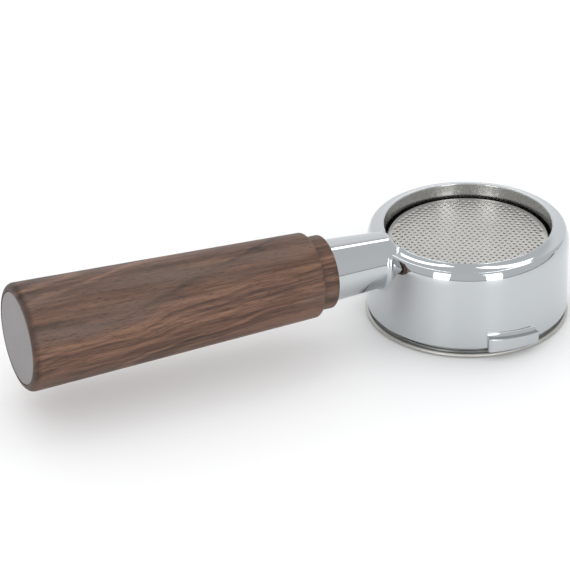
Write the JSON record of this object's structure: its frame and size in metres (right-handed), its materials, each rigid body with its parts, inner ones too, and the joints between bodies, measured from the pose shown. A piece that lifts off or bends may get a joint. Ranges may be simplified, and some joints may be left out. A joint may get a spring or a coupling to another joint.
{
  "type": "portafilter",
  "caption": "Bottomless espresso portafilter: chromed ring with bayonet ears, lift-out filter basket and turned wooden handle.",
  "frame": {"origin": "on the axis of the ring and basket, in the plane of the basket's rim, which the part rests on upside down", "axes": "+Z along the ring's axis, from the rim towards the outlet; -X along the handle, away from the ring"},
  "size_m": [0.2065, 0.0776, 0.0469],
  "materials": {
    "chromed_brass": "polished chrome plate over cast brass",
    "basket_steel": "pressed stainless sheet, satin",
    "spring_steel": "drawn stainless wire",
    "walnut": "turned walnut, oiled satin",
    "cap_metal": "bead-blasted, satin",
    "zinc_steel": "plain machined steel",
    "brass": "turned brass"
  },
  "bodies": {
    "basket": {"filter_basket": "basket_steel"},
    "clip": {"retaining_spring": "spring_steel"},
    "holder": {"holder_body": "chromed_brass", "spring_washer": "zinc_steel", "handle_stud": "zinc_steel", "handle_insert": "brass", "handle_grip": "walnut", "end_cap": "cap_metal"}
  },
  "joints": [
    {"name": "basket_release", "type": "slide", "parent": "basket", "child": "clip", "axis": [0, 0, 1], "range_m": [0, 0.035]},
    {"name": "basket_turn", "type": "hinge", "parent": "clip", "child": "holder", "pos_m": [0, 0, 0.009], "axis": [0, 0, 1], "continuous": true}
  ]
}
